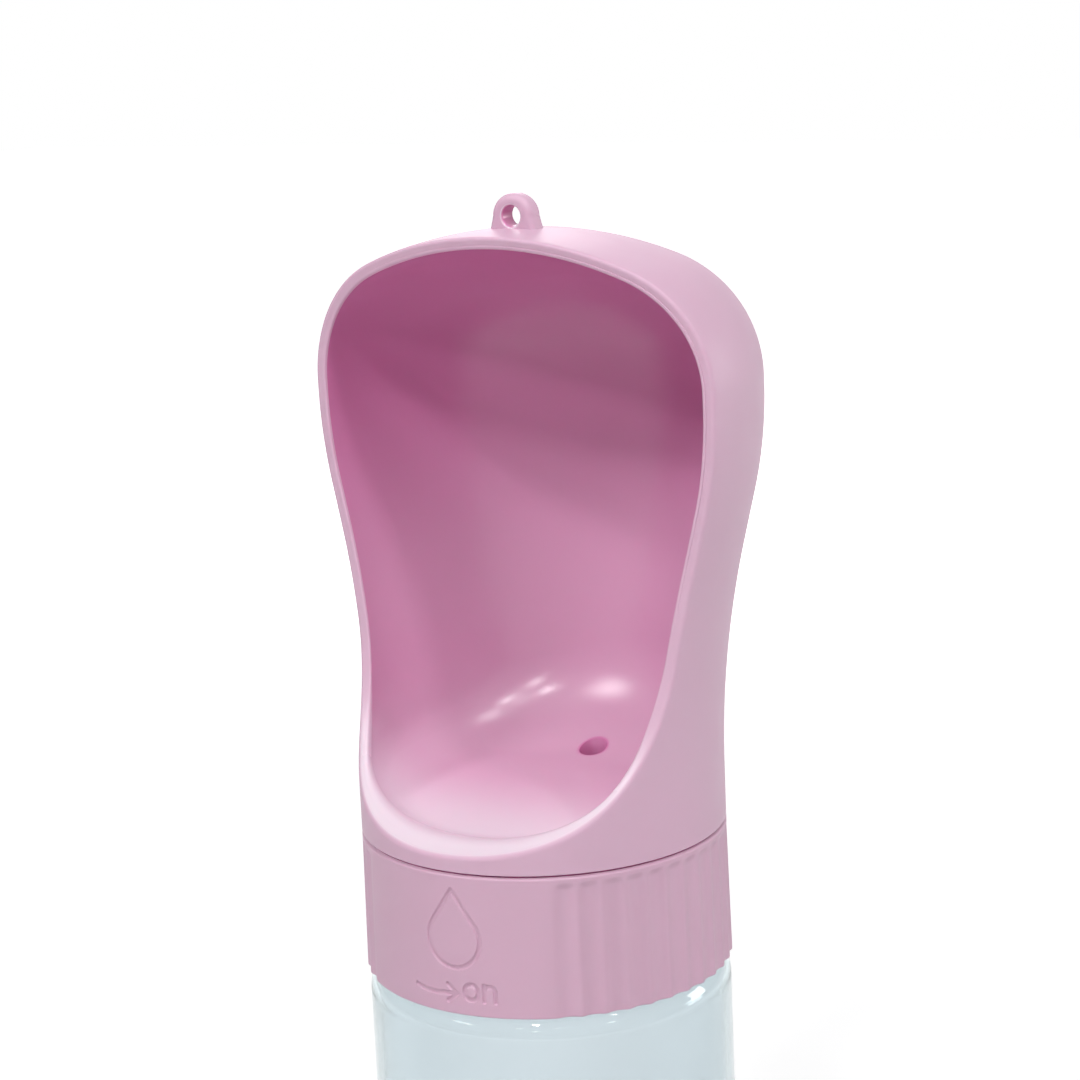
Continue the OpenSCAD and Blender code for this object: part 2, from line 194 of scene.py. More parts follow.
class Nodes:
    """A short way to build a material's node tree on Object coordinates."""

    def __init__(self, name: str) -> None:
        """Starts a material with its Principled shader and an Object coordinate."""
        self.material = bpy.data.materials.new(name)
        self.material.use_nodes = True
        self.tree = self.material.node_tree
        self.shader = self.tree.nodes["Principled BSDF"]
        self.coords = self.tree.nodes.new("ShaderNodeTexCoord").outputs["Object"]

    def set(self, **values: object) -> None:
        """Sets plain values on the shader's own sockets, named with _ for a space."""
        for key, value in values.items():
            self.shader.inputs[key.replace("_", " ")].default_value = value

    def noise(self, scale: float, detail: float = 2.0, stretch: tuple[float, float, float] = (1, 1, 1)) -> bpy.types.NodeSocket:
        """Noise of a scale per metre, stretched along the axes."""
        mapping = self.tree.nodes.new("ShaderNodeMapping")
        mapping.inputs["Scale"].default_value = stretch
        self.tree.links.new(self.coords, mapping.inputs["Vector"])
        node = self.tree.nodes.new("ShaderNodeTexNoise")
        node.inputs["Scale"].default_value = scale
        node.inputs["Detail"].default_value = detail
        self.tree.links.new(mapping.outputs["Vector"], node.inputs["Vector"])
        return node.outputs["Fac"]

    def spread(self, source: bpy.types.NodeSocket, low: float, high: float, target: str) -> bpy.types.NodeSocket:
        """Maps the middle of a noise onto low to high, links it to the shader's socket and returns it."""
        node = self.tree.nodes.new("ShaderNodeMapRange")
        node.inputs["From Min"].default_value = 0.3
        node.inputs["From Max"].default_value = 0.7
        node.inputs["To Min"].default_value = low
        node.inputs["To Max"].default_value = high
        self.tree.links.new(source, node.inputs["Value"])
        self.tree.links.new(node.outputs["Result"], self.shader.inputs[target])
        return node.outputs["Result"]

    def tint(self, source: bpy.types.NodeSocket, first: tuple, second: tuple) -> bpy.types.NodeSocket:
        """Blends two colours by a noise, links the result to the base colour and returns it."""
        node = self.tree.nodes.new("ShaderNodeValToRGB")
        node.color_ramp.elements[0].position = 0.35
        node.color_ramp.elements[1].position = 0.65
        node.color_ramp.elements[0].color = (*first, 1.0)
        node.color_ramp.elements[1].color = (*second, 1.0)
        self.tree.links.new(source, node.inputs["Fac"])
        self.tree.links.new(node.outputs["Color"], self.shader.inputs["Base Color"])
        return node.outputs["Color"]

    def by_shade_and_finish(self, values: list[bpy.types.NodeSocket], target: str) -> None:
        """Blends the values for the mesh's four levels (painted shade, middle tone, painted light, satin outside), for
        one of the shader's sockets.
        """
        shade_and_finish = self.tree.nodes.new("ShaderNodeAttribute")
        shade_and_finish.attribute_name = SHADE_AND_FINISH
        colours = target == "Base Color"
        blend = values[0]
        for step, value in enumerate(values[1:]):
            share = self.tree.nodes.new("ShaderNodeMapRange")
            share.inputs["From Min"].default_value = step
            share.inputs["From Max"].default_value = step + 1
            self.tree.links.new(shade_and_finish.outputs["Fac"], share.inputs["Value"])
            node = self.tree.nodes.new("ShaderNodeMix")
            node.data_type = "RGBA" if colours else "FLOAT"
            first, second = (node.inputs[i] for i in ((6, 7) if colours else (2, 3)))
            self.tree.links.new(share.outputs["Result"], node.inputs[0])
            self.tree.links.new(blend, first)
            self.tree.links.new(value, second)
            blend = node.outputs[2 if colours else 0]
        self.tree.links.new(blend, self.shader.inputs[target])

    def bump(self, source: bpy.types.NodeSocket, depth_mm: float, strength: float) -> None:
        """Raises the surface by a noise, depth_mm from its lowest to its highest point."""
        node = self.tree.nodes.new("ShaderNodeBump")
        node.inputs["Strength"].default_value = strength
        node.inputs["Distance"].default_value = depth_mm * MM
        self.tree.links.new(source, node.inputs["Height"])
        self.tree.links.new(node.outputs["Normal"], self.shader.inputs["Normal"])


@dataclass(frozen=True)
class MouldedPlastic:
    """Opaque injection-moulded plastic: faint mottle, a fine mould grain and a satin sheen.

    With three tones for the polished inside, which paint shade, a middle tone and light, the colour
    follows the mesh's level of painted shade and the roughness its finish. A part without them is satin all over.
    """

    name: str
    colour: tuple[float, float, float]
    lit_and_shaded_tones: tuple[tuple[float, float, float], ...] = ()
    polish: float = 0.24
    mottle: float = 0.03
    roughness: float = 0.36
    grain_mm: float = 0.012
    grain_scale: float = 1500.0
    scatter: float = 0.0

    def build(self) -> bpy.types.Material:
        """Makes the material."""
        nodes = Nodes(self.name)
        nodes.set(IOR=1.49, Metallic=0.0)
        if self.scatter:
            nodes.set(Subsurface_Weight=self.scatter, Subsurface_Radius=(1.0, 0.45, 0.6), Subsurface_Scale=0.0016)
        cloud = nodes.noise(22.0, 3.0, (1, 1, 0.6))
        tones = [nodes.tint(cloud, tuple(c * (1.0 - self.mottle) for c in tone), tone)
                 for tone in (*self.lit_and_shaded_tones, self.colour)]
        speckle = nodes.noise(160.0, 4.0)
        if self.lit_and_shaded_tones:
            # Colour by the mesh's level: painted shade, a middle tone and painted light inside, the plastic's own
            # colour outside.
            nodes.by_shade_and_finish(tones, "Base Color")
            polish = nodes.spread(speckle, self.polish - 0.02, self.polish + 0.02, "Roughness")
            satin = nodes.spread(speckle, self.roughness - 0.03, self.roughness + 0.03, "Roughness")
            nodes.by_shade_and_finish([polish, polish, polish, satin], "Roughness")
        else:
            nodes.spread(speckle, self.roughness - 0.03, self.roughness + 0.03, "Roughness")
        nodes.bump(nodes.noise(self.grain_scale, 3.0), self.grain_mm, 0.5)
        return nodes.material


@dataclass(frozen=True)
class Silicone:
    """Soft white silicone: matt, slightly see-through at its edges, with a dusty sheen."""

    name: str = "silicone_white"
    colour: tuple[float, float, float] = (0.78, 0.76, 0.77)

    def build(self) -> bpy.types.Material:
        """Makes the material."""
        nodes = Nodes(self.name)
        nodes.set(IOR=1.41, Subsurface_Weight=0.25, Subsurface_Scale=0.002, Subsurface_Radius=(1.0, 0.9, 0.9))
        nodes.tint(nodes.noise(90.0, 3.0), tuple(c * 0.95 for c in self.colour), self.colour)
        nodes.spread(nodes.noise(400.0, 4.0), 0.48, 0.6, "Roughness")
        nodes.bump(nodes.noise(3000.0, 2.0), 0.01, 0.4)
        return nodes.material


@dataclass(frozen=True)
class ClearPlastic:
    """Clear blow-moulded plastic: cool tint that deepens with the wall's thickness, polished, faint waves."""

    name: str = "plastic_clear"
    colour: tuple[float, float, float] = (0.925, 0.945, 0.968)
    density: float = 90.0
    clear: tuple[float, float, float] = (0.0, 0.27, 0.3)

    def build(self) -> bpy.types.Material:
        """Makes the material."""
        nodes = Nodes(self.name)
        nodes.set(IOR=1.45, Transmission_Weight=1.0)
        nodes.tint(nodes.noise(30.0, 2.0), tuple(c * 0.985 for c in self.colour), self.colour)
        nodes.spread(nodes.noise(120.0, 3.0), 0.03, 0.09, "Roughness")
        nodes.bump(nodes.noise(45.0, 2.0, (1, 1, 0.35)), 0.12, 0.5)
        inside = nodes.tree.nodes.new("ShaderNodeVolumeAbsorption")
        inside.inputs["Color"].default_value = (*self.clear, 1.0)
        inside.inputs["Density"].default_value = self.density
        nodes.tree.links.new(inside.outputs["Volume"], nodes.tree.nodes["Material Output"].inputs["Volume"])
        return nodes.material


@dataclass(frozen=True)
class Skin:
    """The scoop's turned skin: a chain of tangent arcs seen from the side, heights from the seam."""

    foot_r: float = 34.0
    foot_h: float = 10.0
    flare_r: float = 184.0
    flare_angle: float = 13.2
    bulb_r: float = 43.2
    swell_r: float = 80.0
    band_h: float = 2.2
    shoulder_r: float = 23.8
    crown_r: float = 72.0

    def half(self, inset: float) -> np.ndarray:
        """Right half of the skin moved inwards, as many (radius, height) points from foot to crown.

        Each arc keeps its centre while its radius grows or shrinks by the inset.
        """
        lean = math.radians(self.flare_angle)
        flare_end = (self.foot_r + self.flare_r * (1 - math.cos(lean)), self.foot_h + self.flare_r * math.sin(lean))
        swell_x = self.bulb_r - self.swell_r
        lean_len = (swell_x + self.swell_r * math.cos(lean) - flare_end[0]) / math.sin(lean)
        swell_z = flare_end[1] + lean_len * math.cos(lean) + self.swell_r * math.sin(lean)
        dome = (self.bulb_r - self.shoulder_r, swell_z + self.band_h)
        crown_a = math.degrees(math.asin(dome[0] / (self.crown_r - self.shoulder_r)))
        crown = (0.0, dome[1] - (self.crown_r - self.shoulder_r) * math.cos(math.radians(crown_a)))
        return np.concatenate([
            [[self.foot_r - inset, -8.0]],
            arc((self.foot_r + self.flare_r, self.foot_h), self.flare_r + inset, 180, 180 - self.flare_angle),
            arc((swell_x, swell_z), self.swell_r - inset, -self.flare_angle, 0),
            arc(dome, self.shoulder_r - inset, 0, 90 - crown_a),
            arc(crown, self.crown_r - inset, 90 - crown_a, 90)[1:],
        ])


@dataclass(frozen=True)
class EdgeLine:
    """Edge of the scoop's opening seen from the side: three tangent arcs from the lip to the crown."""

    edge_y: float = 6.1
    edge_z: float = 72.8
    long_r: float = 336.0
    long_angle: float = 6.2
    foot_r: float = 40.7
    top_z: float = 85.0
    top_r: float = 70.0

    def points(self, setback: float) -> np.ndarray:
        """The line moved back into the shell, as (y, z) points from below the lip to above the crown."""
        lean = math.radians(self.long_angle)
        long_c = (-self.edge_y - self.long_r, self.edge_z)
        down = np.array([math.cos(lean), -math.sin(lean)])
        foot_c = np.array(long_c) + (self.long_r - self.foot_r) * down
        return np.concatenate([
            arc(tuple(foot_c), self.foot_r + setback, -84, -self.long_angle, 500),
            arc(long_c, self.long_r + setback, -self.long_angle, 0, 60)[1:],
            arc((-self.edge_y - self.top_r, self.top_z), self.top_r + setback, 0, 45, 160),
        ])


@dataclass(frozen=True)
class Basin:
    """The dished floor: a sloping plane whose corner radius grows from the lip to the back wall."""

    height: float = 6.1
    slope: float = 5.8
    back_r: float = 22.0
    side_r: float = 9.0
    front_r: float = 8.0
    wall: float = 2.3

    def corner(self, angle: np.ndarray, skin: Skin) -> tuple[np.ndarray, ...]:
        """The corner circle in the radial plane at each angle.

        The circle touches the sloping floor line below it and the wall beside it. The wall is the
        straight foot, or higher up the flare's arc, whose centre is outside the scoop.

        Args:
            angle: Angles in degrees, -90 at the lip.
            skin: The scoop's skin.

        Returns:
            Radius, centre's radial place, centre's height, slope, first and last angle in radians.
        """
        s = np.sin(np.radians(angle))
        f = self.side_r + np.where(s > 0, self.back_r - self.side_r, self.front_r - self.side_r) * s * s
        m = math.tan(math.radians(self.slope)) * s
        k = np.sqrt(1 + m * m)
        straight = skin.foot_r - self.wall - f
        straight_z = self.height + m * straight + f * k
        far_x = skin.foot_r + skin.flare_r
        rest = self.height - skin.foot_h + f * k
        reach = skin.flare_r + self.wall + f
        b = m * rest - far_x
        a = 1 + m * m
        flared = (-b - np.sqrt(b * b - a * (far_x * far_x + rest * rest - reach * reach))) / a
        low = straight_z < skin.foot_h
        x = np.where(low, straight, flared)
        z = self.height + m * x + f * k
        last = np.where(low, math.pi / 2, np.arctan2(far_x - x, z - skin.foot_h))
        return f, x, z, m, np.arctan(m), last

    def floor_z(self, x: np.ndarray, y: np.ndarray, skin: Skin, extra: float = 0.0) -> np.ndarray:
        """Height of the floor above the seam at (x, y): the plane, then the corner circle.

        Args:
            x: Places across the scoop.
            y: Places along it, towards the back.
            skin: The scoop's skin.
            extra: Distance below the floor's surface, for its underside.

        Returns:
            The heights.
        """
        r = np.hypot(x, y)
        f, cx, cz, m, first, _ = self.corner(np.degrees(np.arctan2(y, x)), skin)
        start = cx + (f + extra) * np.sin(first)
        plane = self.height + m * r - extra * np.sqrt(1 + m * m)
        curve = cz - np.sqrt(np.maximum((f + extra) ** 2 - (r - cx) ** 2, 0.0))
        return np.where(r < start, plane, curve)


@dataclass
class Scoop:
    """The drinking scoop: bulb-shaped shell with its opening, basin, water hole and port boss."""

    skin: Skin = Skin()
    edge: EdgeLine = EdgeLine()
    basin: Basin = Basin()
    wall: float = 2.3
    outer_round: float = 0.8
    inner_round: float = 0.45
    lip_round: float = 2.8
    step_height: float = 0.2
    port_y: float = 18.0
    port_r: float = 2.65
    port_round: float = 0.12
    socket_r: float = 4.9
    boss_r: float = 6.0
    boss_drop: float = 4.5
    socket_rise: float = 0.5
    # Share of the middle tone on the inside walls, which darken to painted shade towards the dome's top at the next
    # height.
    wall_painted_shading: float = 0.6
    full_shade_z: float = 84.0
    columns: int = 176
    rim_rows: int = 132
    wall_split: float = 36.0

    def __post_init__(self) -> None:
        """Tabulates the two skins, the opening's line and the columns' places from 0 to 1."""
        self.lines = (self.edge.points(0.0), self.edge.points(1.0))
        self.outer = self.skin.half(0.0)
        self.inner = self.skin.half(self.wall)
        self.across = np.linspace(0.0, 1.0, self.columns + 1)

    def line_y(self, z: np.ndarray, setback: np.ndarray | float) -> np.ndarray:
        """Place of the opening's edge at height z, with the edge moved back into the shell.

        The line for any setback is the plain line plus the setback times the way from it to the
        line that is moved back by 1 mm.
        """
        plain, moved = (np.interp(z, line[:, 1], line[:, 0]) for line in self.lines)
        return plain + setback * (moved - plain)

    def inner_setback(self, z: np.ndarray) -> np.ndarray:
        """Radius of the rim's inner corner at height z: wide at the lip, small higher up."""
        return self.inner_round + (self.lip_round - self.inner_round) * ease((28.0 - z) / 22.0)

    def inner_point(self, angle: np.ndarray, v: np.ndarray) -> np.ndarray:
        """Point of the inner surface for an angle in degrees and a place v from the floor up.

        v from 0 to 1 is the rest of the corner above the floor patch, 1 to 2 the wall up to a level
        height, and 2 to 3 the wall and the dome by length along the skin, up to the crown.
        """
        angle, v = np.broadcast_arrays(angle, v)
        f, cx, cz, _, _, last = self.basin.corner(angle, self.skin)
        turn = self.patch_turn(angle) + (last - self.patch_turn(angle)) * np.clip(v, 0, 1)
        corner_r, corner_z = cx + f * np.sin(turn), cz - f * np.cos(turn)
        top = cz - f * np.cos(last)
        wall_z = top + (self.wall_split - top) * np.clip(v - 1, 0, 1)
        wall_r = np.interp(wall_z, self.inner[:, 1], self.inner[:, 0])
        run = length_along(self.inner)
        start = np.interp(self.wall_split, self.inner[:, 1], run)
        place = start + (run[-1] - start) * np.clip(v - 2, 0, 1)
        dome_r, dome_z = np.interp(place, run, self.inner[:, 0]), np.interp(place, run, self.inner[:, 1])
        r = np.where(v < 1, corner_r, np.where(v < 2, wall_r, dome_r))
        z = np.where(v < 1, corner_z, np.where(v < 2, wall_z, dome_z))
        return turned(angle, r, z)

    @staticmethod
    def patch_turn(angle: np.ndarray) -> np.ndarray:
        """Turn of the corner circle at which the floor patch ends: 56 degrees, less towards the lip."""
        s = np.sin(np.radians(angle))
        return np.radians(56.0 - 46.0 * ease((-s - 0.1) / 0.9))

    def outer_edge(self, setback: float) -> np.ndarray:
        """Right half of the edge on the outer skin, as (x, y, z) points from the lip to the crown.

        At each height the edge is where the line's y meets the circle of the skin's radius.
        """
        z = np.linspace(0.0, self.outer[-1, 1], 40001)
        y = self.line_y(z, setback)
        r = np.interp(z, self.outer[:, 1], self.outer[:, 0])
        inside = np.flatnonzero(r * r - y * y > 0)
        low, high = z[inside[0]], z[inside[-1]]
        z = low + (high - low) * (0.5 - 0.5 * np.cos(np.linspace(0, math.pi, 3001)))
        y = self.line_y(z, setback)
        r = np.interp(z, self.outer[:, 1], self.outer[:, 0])
        x = np.sqrt(np.maximum(r * r - y * y, 0.0))
        x[[0, -1]], y[[0, -1]] = 0.0, -r[[0, -1]]
        return np.stack([x, y, z], -1)

    def rim_angle(self, v: np.ndarray, share: float) -> np.ndarray:
        """Angle at which each row v of the inner surface meets the edge, by halving an interval."""
        low, high = np.full(v.shape, -90.0), np.full(v.shape, 30.0)
        for _ in range(40):
            middle = (low + high) / 2
            p = self.inner_point(middle, v)
            front = p[..., 1] < self.line_y(p[..., 2], share * self.inner_setback(p[..., 2]))
            low, high = np.where(front, middle, low), np.where(front, high, middle)
        return high

    def inner_rows(self, share: float) -> tuple[np.ndarray, np.ndarray]:
        """Rows v of the inner surface that the opening cuts, and their edge points.

        The first and the last row are those whose point at the front lies on the edge.

        Args:
            share: 0 for the plain edge, 1 for the edge moved back by the inner corner's radius.

        Returns:
            The rows and their (x, y, z) points on the right of the opening.
        """
        v = np.linspace(0.0, 2.999, 30001)
        p = self.inner_point(np.full(v.shape, -90.0), v)
        cut = np.flatnonzero(p[:, 1] < self.line_y(p[:, 2], share * self.inner_setback(p[:, 2])))
        low, high = v[cut[0]], v[cut[-1]]
        v = low + (high - low) * (0.5 - 0.5 * np.cos(np.linspace(0, math.pi, 2401)))
        p = self.inner_point(self.rim_angle(v, share), v)
        p[[0, -1]] = self.inner_point(np.full(2, -90.0), v[[0, -1]])
        p[[0, -1], 0] = 0.0
        return v, p

    @staticmethod
    def nearest(targets: np.ndarray, curve: np.ndarray) -> np.ndarray:
        """Index of the curve's point nearest to each target, its two ends kept."""
        index = np.argmin(np.linalg.norm(targets[:, None] - curve[None], axis=-1), axis=1)
        index = np.maximum.accumulate(index)
        index[0], index[-1] = 0, len(curve) - 1
        return index

    def span(self, first: np.ndarray) -> np.ndarray:
        """Angles of a row from the opening's right edge round the back to its left edge."""
        first = np.asarray(first, float)[:, None]
        return first + (180.0 - 2.0 * first) * self.across[None]

    def loop(self, radius: float, height: np.ndarray | float, centred: bool = True) -> np.ndarray:
        """One closed row: a circle round the axis, or round the port."""
        p = turned(self.span(np.array([-90.0]))[0], radius, 0.0)
        p[:, 1] += 0.0 if centred else self.port_y
        p[:, 2] = height
        return p

    def floor_patch(self, rows: int) -> np.ndarray:
        """Rows of the floor between the hole's edge and the corner.

        Each point lies on the straight line between the hole's circle and the outer loop at the same
        angle, and takes its height from the floor.
        """
        angle = self.span(np.array([-90.0]))[0]
        rim = self.inner_point(angle, np.zeros_like(angle))
        hole = self.loop(self.port_r + self.port_round, 0.0, centred=False)
        t = np.linspace(0.0, 1.0, rows)[:, None, None] ** 1.25
        grid = hole[None] * (1 - t) + rim[None] * t
        grid[..., 2] = self.basin.floor_z(grid[..., 0], grid[..., 1], self.skin)
        grid[-1] = rim
        return grid

    def port_rows(self, rim: np.ndarray) -> list[np.ndarray]:
        """Rows from the floor down the water hole, round its boss and along the floor's underside.

        The underside keeps the wall's thickness below the floor and below the lip's cut.
        """
        rows = []
        for turn in np.radians([90, 67.5, 45, 22.5]):
            row = self.loop(self.port_r + self.port_round * (1 - math.cos(turn)), 0.0, centred=False)
            row[:, 2] = rim[:, 2] - self.port_round * (1 - math.sin(turn))
            rows.insert(0, row)
        rows.insert(0, self.loop(self.port_r, rim[:, 2].min() - 1.2, centred=False))
        ring = [(self.port_r, self.socket_rise), (self.socket_r, self.socket_rise), (self.socket_r, 0.25 - self.boss_drop),
                (self.socket_r + 0.25, -self.boss_drop), (self.boss_r - 0.25, -self.boss_drop), (self.boss_r, 0.25 - self.boss_drop)]
        for r, z in ring:
            rows.insert(0, self.loop(r, z, centred=False))
        inner_foot = self.skin.foot_r - self.wall
        near, far = self.loop(self.boss_r, 0.0, centred=False), self.loop(inner_foot, 0.0)
        lip = self.lines[0][:400]
        for t in np.linspace(0.0, 1.0, 16):
            row = near * (1 - t) + far * t
            below_lip = np.interp(row[:, 1], lip[:, 0], lip[:, 1]) - self.wall
            row[:, 2] = np.minimum(self.basin.floor_z(row[:, 0], row[:, 1], self.skin, self.wall), below_lip)
            rows.insert(0, row)
        rows.insert(0, self.loop(inner_foot, 0.0))
        return rows

    def sheet(self) -> Sheet:
        """The whole shell as one closed sheet, from the outer crown under the foot to the inner crown.

        Rows that the opening cuts end on its edge, and a strip with rounded corners joins the outer
        edge to the inner one.
        """
        corner_out = self.outer_edge(0.0)
        run = length_along(corner_out)
        places = np.interp(np.linspace(0, run[-1], self.rim_rows + 1), run, np.arange(len(run)))
        corner_out = corner_out[np.round(places).astype(int)]
        edge_out = self.outer_edge(self.outer_round)
        edge_out = edge_out[self.nearest(corner_out, edge_out)]
        _, corner_in = self.inner_rows(0.0)
        corner_in = corner_in[self.nearest(corner_out, corner_in)]
        v, edge_in = self.inner_rows(1.0)
        index = self.nearest(corner_in, edge_in)
        v, edge_in = v[index], edge_in[index]

        length = length_along(self.outer)
        crown_s = np.linspace(np.interp(edge_out[-1, 2], self.outer[:, 1], length), length[-1], 16)[1:]
        low_z = np.concatenate([[0.25], np.linspace(0.9, edge_out[0, 2], 6)[:-1]])
        outer = [self.loop(self.skin.foot_r - self.wall, 0.0), self.loop(self.skin.foot_r - 0.25, 0.0)]
        outer += [self.loop(self.skin.foot_r, z) for z in low_z]
        radius = np.interp(edge_out[:, 2], self.outer[:, 1], self.outer[:, 0])
        first = np.degrees(np.arctan2(edge_out[:, 1], edge_out[:, 0]))
        outer += list(turned(self.span(first), radius[:, None], edge_out[:, 2][:, None]))
        outer += [self.loop(np.interp(s, length, self.outer[:, 0]), np.interp(s, length, self.outer[:, 1])) for s in crown_s]

        patch = self.floor_patch(46)
        start = self.span(np.array([-90.0]))[0]
        inner = [*self.port_rows(patch[0]), *patch]
        inner += [self.inner_point(start, np.full(start.shape, t)) for t in np.linspace(0, v[0], 8)[1:-1]]
        first = np.degrees(np.arctan2(edge_in[:, 1], edge_in[:, 0]))
        inner += list(self.inner_point(self.span(first), v[:, None]))
        inner += [self.inner_point(start, np.full(start.shape, t)) for t in np.linspace(v[-1], 3.0, 14)[1:]]

        made = Sheet("scoop_shell")
        # The two rows under the foot are painted in shade; the rest of the outside keeps its satin colour.
        made.add(np.array(outer) + [0, 0, SEAM_Z], np.where(np.arange(len(outer)) > 1, SATIN, IN_SHADE)[:, None])
        made.add(np.array(inner) + [0, 0, SEAM_Z], self.inside_painted_shading(np.array(inner)))
        strip = self.rim_strip(edge_out, corner_out, corner_in, edge_in)
        # The strip's inner rows turn to painted light towards the lip; its last row takes the inside's painted
        # shading.
        inward = ease((np.arange(len(strip)) - 3) / 3.0)[:, None]
        shade_and_finish = SATIN + (IN_LIGHT - SATIN) * inward * ease((26.0 - strip[..., 2]) / 16.0)
        shade_and_finish[-1] = self.inside_painted_shading(strip[-1])
        made.add(strip + [0, 0, SEAM_Z], shade_and_finish)
        made.add((strip * [-1, 1, 1])[:, ::-1] + [0, 0, SEAM_Z], shade_and_finish[:, ::-1])
        return made

    def inside_painted_shading(self, p: np.ndarray) -> np.ndarray:
        """Level of the inside: painted shade in the dome and down the water hole, the middle tone in the basin,
        painted light at the lip.
        """
        walls = self.wall_painted_shading * ease((self.full_shade_z - p[..., 2]) / 50.0)
        basin = (CLEAR - self.wall_painted_shading) * ease((28.0 - p[..., 2]) / 22.0)
        lip = (IN_LIGHT - CLEAR) * ease((4.0 - p[..., 1]) / 28.0) * ease((26.0 - p[..., 2]) / 14.0)
        hole = ease((np.hypot(p[..., 0], p[..., 1] - self.port_y) - self.port_r - 0.1) / 0.5)
        return (walls + basin + lip) * hole

    def rim_strip(self, a: np.ndarray, b: np.ndarray, c: np.ndarray, d: np.ndarray) -> np.ndarray:
        """Strip from the outer edge a to the inner edge d, round the corners b and c.

        Each corner is a quadratic curve whose middle point is the corner itself. The flat between
        them stays on the cut, because its points share the line's y and z. Its inner fifth stands
        proud by a fine step, which fades towards the lip.
        """
        width = np.linalg.norm(c - b, axis=1, keepdims=True)
        inner = self.inner_setback(c[:, 2])[:, None]
        near = b + (c - b) * np.minimum(self.outer_round / width, 0.4)
        far = c + (b - c) * np.minimum(inner / width, 0.55)
        for p in (near, far):
            p[:, 1] = self.line_y(p[:, 2], 0.0)
        rows = [(1 - t) ** 2 * a + 2 * t * (1 - t) * b + t * t * near for t in np.linspace(0, 1, 7)]
        proud = -self.step_height * ease((b[:, 2] - 30.0) / 40.0)
        for t, height in ((0.3, 0), (0.6, 0), (0.7, 0), (0.725, 0.06), (0.76, 0.94), (0.785, 1), (0.9, 1)):
            flat = near * (1 - t) + far * t
            flat[:, 1] = self.line_y(flat[:, 2], 0.0) + height * proud
            rows.append(flat)
        far[:, 1] += proud
        corner = c + np.stack([0 * proud, proud, 0 * proud], -1)
        rows += [(1 - t) ** 2 * far + 2 * t * (1 - t) * corner + t * t * d for t in np.linspace(0, 1, 8)]
        return np.array(rows)

    def build(self, material: bpy.types.Material) -> None:
        """Makes the shell in place of the plain solid."""
        finish_piece(self.sheet().build(), Body.HEAD, Slot.SCOOP, material, "scoop", "scoop_hood")


@dataclass
class LanyardEye:
    """The small eye on the crown: an arch with leaning sides, a round hole and rounded edges."""

    crown_z: float = 109.828
    rise: float = 2.2
    radius: float = 4.3
    height: float = 4.0
    hole_r: float = 1.9
    thickness: float = 3.8
    taper: float = 0.9
    edge_round: float = 1.25
    hole_round: float = 0.4

    def outline(self, columns: int) -> np.ndarray:
        """Outline of the arch in (x, height above the hole): half an ellipse and two leaning sides."""
        depth = self.rise + 1.3
        side = np.linspace(0, 1, 24)[1:]
        x = self.radius + self.taper * side
        right = np.stack([x, -side * depth], -1)
        base = np.stack([np.linspace(-x[-1], x[-1], 16)[1:-1], np.full(14, -depth)], -1)
        path = np.concatenate([
            arc((0, 0), self.radius, 0, 180, 40) * [1, self.height / self.radius],
            right * [-1, 1],
            base,
            right[::-1],
            [[self.radius, 0.0]],
        ])
        run = length_along(path)
        at = np.linspace(0, run[-1], columns + 1)
        return np.stack([np.interp(at, run, path[:, 0]), np.interp(at, run, path[:, 1])], -1)

    def build(self, material: bpy.types.Material) -> None:
        """Makes the eye: its section runs from the hole to the outline with a round at each edge.

        Every row is the hole's circle moved towards the outline by a share of the way, at its own
        distance from the middle plane, so the rows form a closed ring.
        """
        columns = 120
        outline = self.outline(columns)
        angle = np.unwrap(np.arctan2(outline[:, 1], outline[:, 0]))
        hole = self.hole_r * np.stack([np.cos(angle), np.sin(angle)], -1)
        way = outline - hole
        width = np.linalg.norm(way, axis=1, keepdims=True)
        half = self.thickness / 2
        turns = np.radians(np.linspace(0, 90, 8))
        section = [(e * (1 - math.cos(t)), half - e * (1 - math.sin(t)), far)
                   for e, far, way_round in ((self.hole_round, 0, turns), (self.edge_round, 1, turns[::-1]))
                   for t in way_round]
        section += [(d, -y, far) for d, y, far in section[::-1]]
        section.append(section[0])
        rows, shades_and_finishes = [], []
        for distance, y, far in section:
            place = outline - way / width * distance if far else hole + way / width * distance
            depth = np.full((columns + 1, 1), y)
            rows.append(np.concatenate([place[:, :1], depth, place[:, 1:] + self.crown_z + self.rise + SEAM_Z], 1))
            # Painted shade down the hole, fading to the satin outside across the hole's rounded edge.
            shades_and_finishes.append(np.full(columns + 1, far or 2.5 * distance))
        made = Sheet("lanyard_eye")
        made.add(np.array(rows), SATIN * np.clip(shades_and_finishes, 0, 1))
        finish_piece(made.build(60), Body.HEAD, Slot.SCOOP, material, "scoop_hood")


